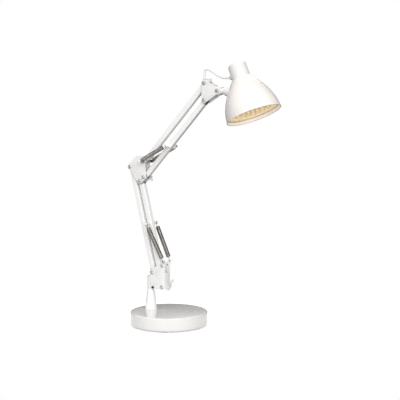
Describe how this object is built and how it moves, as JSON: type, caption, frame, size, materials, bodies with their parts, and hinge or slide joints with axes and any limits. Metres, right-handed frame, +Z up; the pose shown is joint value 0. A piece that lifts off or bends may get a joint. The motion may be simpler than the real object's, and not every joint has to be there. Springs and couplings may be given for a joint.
{
  "type": "swing arm desk lamp",
  "caption": "Desk lamp with a weighted round base, two spring-balanced parallel-bar arms, joint plates with wing nuts and a tilting bell shade holding an LED board.",
  "frame": {"origin": "centre of the round base, on the surface the lamp stands on", "axes": "+Z up; +X from the base's centre towards the lamp head; +Y to the wing-nut side of the arm plane; the arm plane is y = 0"},
  "size_m": [0.4196, 0.19, 0.6369],
  "materials": {
    "white_enamel": "gloss",
    "white_plastic": "gloss",
    "zinc_steel": "satin",
    "dark_steel": "satin black oxide",
    "spring_steel": "polished",
    "cast_iron": "cast",
    "rubber": "matte",
    "nylon": "satin",
    "lead_sheath": "satin",
    "aluminium": "satin",
    "board": "lacquered",
    "led_yellow": "gloss",
    "driver_green": "matte"
  },
  "bodies": {
    "base": {"base_cover": "white_enamel", "base_weight": "cast_iron", "base_plate": "zinc_steel", "base_feet": "rubber", "base_screws": "zinc_steel", "cable_gland": "rubber", "post": "white_enamel", "post_spindle": "zinc_steel", "post_nut": "zinc_steel", "thrust_washer": "nylon", "spindle_retainer": "zinc_steel"},
    "bracket": {"swivel_hub": "white_enamel", "lower_plates": "white_enamel", "hub_screws": "dark_steel", "lower_bolts": "zinc_steel", "lower_nut": "zinc_steel", "lower_spacers": "nylon", "spring_ears": "white_enamel", "ear_rivets": "zinc_steel"},
    "lower_wing": {"lower_wing_nut": "white_plastic"},
    "lower_rear": {"lower_rear_bar": "white_enamel", "lower_rear_ends": "aluminium"},
    "lower_front": {"lower_front_bar": "white_enamel", "lower_front_ends": "aluminium", "lower_spring_bolt": "zinc_steel", "lower_spring_nuts": "white_plastic", "lower_springs": "spring_steel"},
    "elbow": {"elbow_plates": "white_enamel", "elbow_bolts": "zinc_steel", "elbow_nuts": "zinc_steel", "elbow_spacers": "nylon"},
    "elbow_wing": {"elbow_wing_nut": "white_plastic"},
    "upper_main": {"upper_main_bar": "white_enamel", "upper_main_ends": "aluminium", "upper_spring_bolt": "zinc_steel", "upper_spring_nut": "white_plastic", "upper_springs": "spring_steel"},
    "knob": {"spring_knob": "white_plastic"},
    "upper_link": {"upper_link_bar": "white_enamel", "upper_link_ends": "aluminium"},
    "head": {"head_plates": "white_enamel", "head_bolts": "zinc_steel", "head_nuts": "zinc_steel", "head_spacers": "nylon", "lead_clip": "nylon", "head_lead_a": "lead_sheath"},
    "tilt_wing": {"tilt_wing_nut": "white_plastic"},
    "knuckle": {"head_knuckle": "white_enamel", "swivel_stud": "zinc_steel", "stud_nut": "zinc_steel"},
    "shade": {"shade_bell": "white_enamel", "shade_boss": "white_enamel", "shade_cap": "white_plastic", "lead_grommet": "nylon", "driver_box": "driver_green", "led_board": "board", "leds": "led_yellow", "retaining_ring": "dark_steel", "head_lead_b": "lead_sheath"},
    "button": {"switch_button": "white_plastic"}
  },
  "joints": [
    {"name": "base_swivel", "type": "hinge", "parent": "base", "child": "bracket", "pos_m": [-0.0555, 0, 0.1], "axis": [0, 0, 1], "range_deg": [-170, 170]},
    {"name": "lower_wing_turn", "type": "hinge", "parent": "bracket", "child": "lower_wing", "pos_m": [-0.014, 0.02, 0.094], "axis": [0, 1, 0], "range_deg": [-180, 180]},
    {"name": "lower_arm", "type": "hinge", "parent": "bracket", "child": "lower_rear", "pos_m": [-0.04439, 0, 0.12799], "axis": [0, 1, 0], "range_deg": [-9, 15]},
    {"name": "lower_front_pivot", "type": "hinge", "parent": "bracket", "child": "lower_front", "pos_m": [-0.014, 0, 0.094], "axis": [0, 1, 0], "range_deg": [-10, 16], "deforming": ["lower_springs"]},
    {"name": "elbow_carry", "type": "hinge", "parent": "lower_rear", "child": "elbow", "pos_m": [-0.11129, 0, 0.38854], "axis": [0, 1, 0], "range_deg": [-16, 10]},
    {"name": "elbow_wing_turn", "type": "hinge", "parent": "elbow", "child": "elbow_wing", "pos_m": [-0.0694, 0.02, 0.36335], "axis": [0, 1, 0], "range_deg": [-180, 180]},
    {"name": "upper_arm", "type": "hinge", "parent": "elbow", "child": "upper_main", "pos_m": [-0.0694, 0, 0.36335], "axis": [0, 1, 0], "range_deg": [-20, 45], "deforming": ["upper_springs"]},
    {"name": "knob_turn", "type": "hinge", "parent": "upper_main", "child": "knob", "pos_m": [0.00493, 0.015, 0.44032], "axis": [0, 1, 0], "range_deg": [-180, 180]},
    {"name": "upper_link_pivot", "type": "hinge", "parent": "elbow", "child": "upper_link", "pos_m": [-0.0694, 0, 0.40285], "axis": [0, 1, 0], "range_deg": [-21, 46]},
    {"name": "head_carry", "type": "hinge", "parent": "upper_main", "child": "head", "pos_m": [0.11052, 0, 0.54966], "axis": [0, 1, 0], "range_deg": [-46, 21]},
    {"name": "tilt_wing_turn", "type": "hinge", "parent": "head", "child": "tilt_wing", "pos_m": [0.14652, 0.02, 0.57066], "axis": [0, 1, 0], "range_deg": [-180, 180]},
    {"name": "head_tilt", "type": "hinge", "parent": "head", "child": "knuckle", "pos_m": [0.14652, 0, 0.57066], "axis": [0, 1, 0], "range_deg": [-25, 35], "deforming": ["head_lead_a"]},
    {"name": "head_swivel", "type": "hinge", "parent": "knuckle", "child": "shade", "pos_m": [0.14652, 0, 0.57066], "axis": [0.9903, 0, -0.1392], "range_deg": [-60, 60], "deforming": ["head_lead_b"]},
    {"name": "switch_press", "type": "slide", "parent": "shade", "child": "button", "axis": [0.3746, 0, -0.9272], "range_m": [0, 0.0018], "stiffness_N_per_m": 400, "springref_m": -0.0005}
  ],
  "couplings": [
    {"joint": "lower_front_pivot", "follows": "lower_arm", "ratio": 1},
    {"joint": "elbow_carry", "follows": "lower_arm", "ratio": -1},
    {"joint": "upper_link_pivot", "follows": "upper_arm", "ratio": 1},
    {"joint": "head_carry", "follows": "upper_arm", "ratio": -1}
  ]
}
